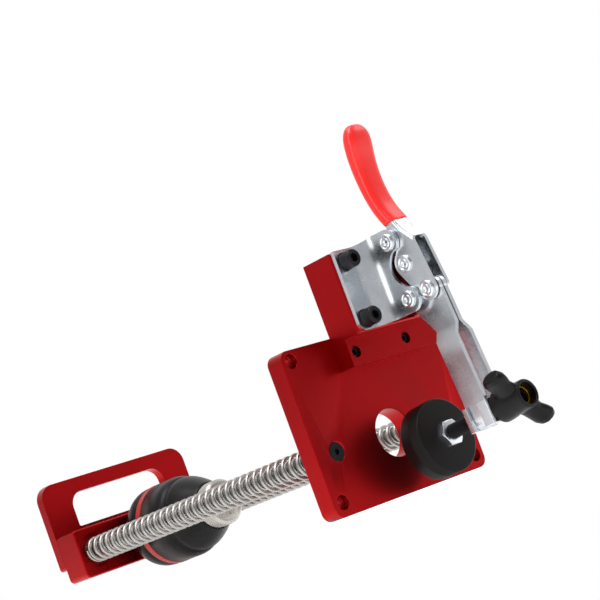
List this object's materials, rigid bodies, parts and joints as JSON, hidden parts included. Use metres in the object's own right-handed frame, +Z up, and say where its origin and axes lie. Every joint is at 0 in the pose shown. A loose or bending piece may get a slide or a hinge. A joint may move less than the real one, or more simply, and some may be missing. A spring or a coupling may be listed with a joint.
{
  "type": "dovetail jig",
  "caption": "Clamp-on drilling jig: base plate with edge stop and toggle clamp, sprung handle carriage on two guide columns, and a keyless chuck on the drill axis.",
  "frame": {"origin": "centre of the drill opening on the base plate's working face", "axes": "+Y along the drill axis from the working face back to the carriage, +Z up towards the clamp handle, +X to the right seen from the working side"},
  "size_m": [0.1174, 0.3596, 0.1891],
  "materials": {
    "red_anodised": "satin",
    "bright_steel": "ground",
    "zinc_steel": "bright zinc plate",
    "black_steel": "black oxide",
    "spring_steel": "bright wire",
    "bronze": "sintered",
    "bearing_steel": "ground",
    "black_plastic": "moulded",
    "red_plastic": "moulded",
    "red_grip": "dipped",
    "black_rubber": "moulded",
    "brass": "turned"
  },
  "bodies": {
    "base": {"base_plate": "red_anodised", "guide_column_left": "bright_steel", "guide_column_right": "bright_steel", "column_foot_screws": "black_steel", "column_end_washers": "zinc_steel", "column_end_screws": "black_steel", "return_spring_left": "spring_steel", "return_spring_right": "spring_steel", "clamp_bracket": "red_anodised", "stop_screws": "black_steel", "clamp_side_left": "zinc_steel", "clamp_side_right": "zinc_steel", "flange_screws": "black_steel", "flange_washers": "black_steel", "link_pin": "zinc_steel", "arm_pin": "zinc_steel", "link_pin_sleeves": "zinc_steel", "arm_pin_sleeves": "zinc_steel"},
    "carriage": {"carriage_bar": "red_anodised", "handle_plate": "red_anodised", "handle_plate_screws": "black_steel", "column_bush_left": "bronze", "column_bush_right": "bronze", "spindle_bearing_front": "bearing_steel", "spindle_bearing_rear": "bearing_steel"},
    "chuck": {"drive_shank": "bright_steel", "retaining_ring": "black_steel", "chuck_core": "bright_steel", "chuck_rear_sleeve": "black_plastic", "chuck_ring": "red_plastic"},
    "chuck_sleeve": {"chuck_front_sleeve": "black_plastic", "chuck_nut": "bright_steel"},
    "jaw_1": {"chuck_jaw_1": "bright_steel"},
    "jaw_2": {"chuck_jaw_2": "bright_steel"},
    "jaw_3": {"chuck_jaw_3": "bright_steel"},
    "clamp_link": {"clamp_link": "zinc_steel"},
    "clamp_arm": {"clamp_arm": "zinc_steel"},
    "clamp_handle": {"handle_channel": "zinc_steel", "handle_grip": "red_grip", "handle_arm_pin": "zinc_steel", "handle_link_rivets": "zinc_steel"},
    "saddle": {"saddle_front": "zinc_steel", "saddle_rear": "zinc_steel"},
    "spindle": {"spindle": "black_steel", "pad_nut": "zinc_steel", "pad": "black_rubber"},
    "wing": {"wing_knob": "black_plastic", "knob_insert": "brass"}
  },
  "joints": [
    {"name": "carriage_slide", "type": "slide", "parent": "base", "child": "carriage", "axis": [0, -1, 0], "range_m": [0, 0.11], "stiffness_N_per_m": 120, "springref_m": -0.09, "deforming": ["return_spring_left", "return_spring_right"]},
    {"name": "chuck_spin", "type": "hinge", "parent": "carriage", "child": "chuck", "pos_m": [0, 0.2, 0], "axis": [0, 1, 0], "continuous": true},
    {"name": "jaw_close", "type": "hinge", "parent": "chuck", "child": "chuck_sleeve", "pos_m": [0, 0.18, 0], "axis": [0, 1, 0], "range_deg": [0, 900]},
    {"name": "jaw_1_slide", "type": "slide", "parent": "chuck", "child": "jaw_1", "axis": [0, -0.9781, 0.2079], "range_m": [0, 0.00801]},
    {"name": "jaw_2_slide", "type": "slide", "parent": "chuck", "child": "jaw_2", "axis": [0.1801, -0.9781, -0.104], "range_m": [0, 0.00801]},
    {"name": "jaw_3_slide", "type": "slide", "parent": "chuck", "child": "jaw_3", "axis": [-0.1801, -0.9781, -0.104], "range_m": [0, 0.00801]},
    {"name": "arm_hinge", "type": "hinge", "parent": "base", "child": "clamp_arm", "pos_m": [0.009, -0.0415, 0.06], "axis": [-1, 0, 0], "range_deg": [0, 64]},
    {"name": "handle_hinge", "type": "hinge", "parent": "clamp_arm", "child": "clamp_handle", "pos_m": [0.009, -0.0538, 0.061], "axis": [1, 0, 0], "range_deg": [0, 119.5]},
    {"name": "link_hinge", "type": "hinge", "parent": "base", "child": "clamp_link", "pos_m": [0.009, -0.0412, 0.0911], "axis": [-1, 0, 0], "range_deg": [0, 51]},
    {"name": "saddle_slide", "type": "slide", "parent": "clamp_arm", "child": "saddle", "axis": [0, 0.0758, 0.9971], "range_m": [0, 0.026]},
    {"name": "spindle_feed", "type": "slide", "parent": "saddle", "child": "spindle", "axis": [0, 0.9971, -0.0758], "range_m": [-0.012, 0.009]},
    {"name": "wing_turn", "type": "hinge", "parent": "saddle", "child": "wing", "pos_m": [0.009, -0.0579, -0.0084], "axis": [0, 0.9971, -0.0758], "continuous": true}
  ],
  "couplings": [
    {"joint": "jaw_1_slide", "follows": "jaw_close", "m_per_rad": 0.0005093},
    {"joint": "jaw_2_slide", "follows": "jaw_close", "m_per_rad": 0.0005093},
    {"joint": "jaw_3_slide", "follows": "jaw_close", "m_per_rad": 0.0005093},
    {"joint": "handle_hinge", "follows": "arm_hinge", "ratio": 1.853},
    {"joint": "link_hinge", "follows": "arm_hinge", "ratio": 0.784}
  ]
}
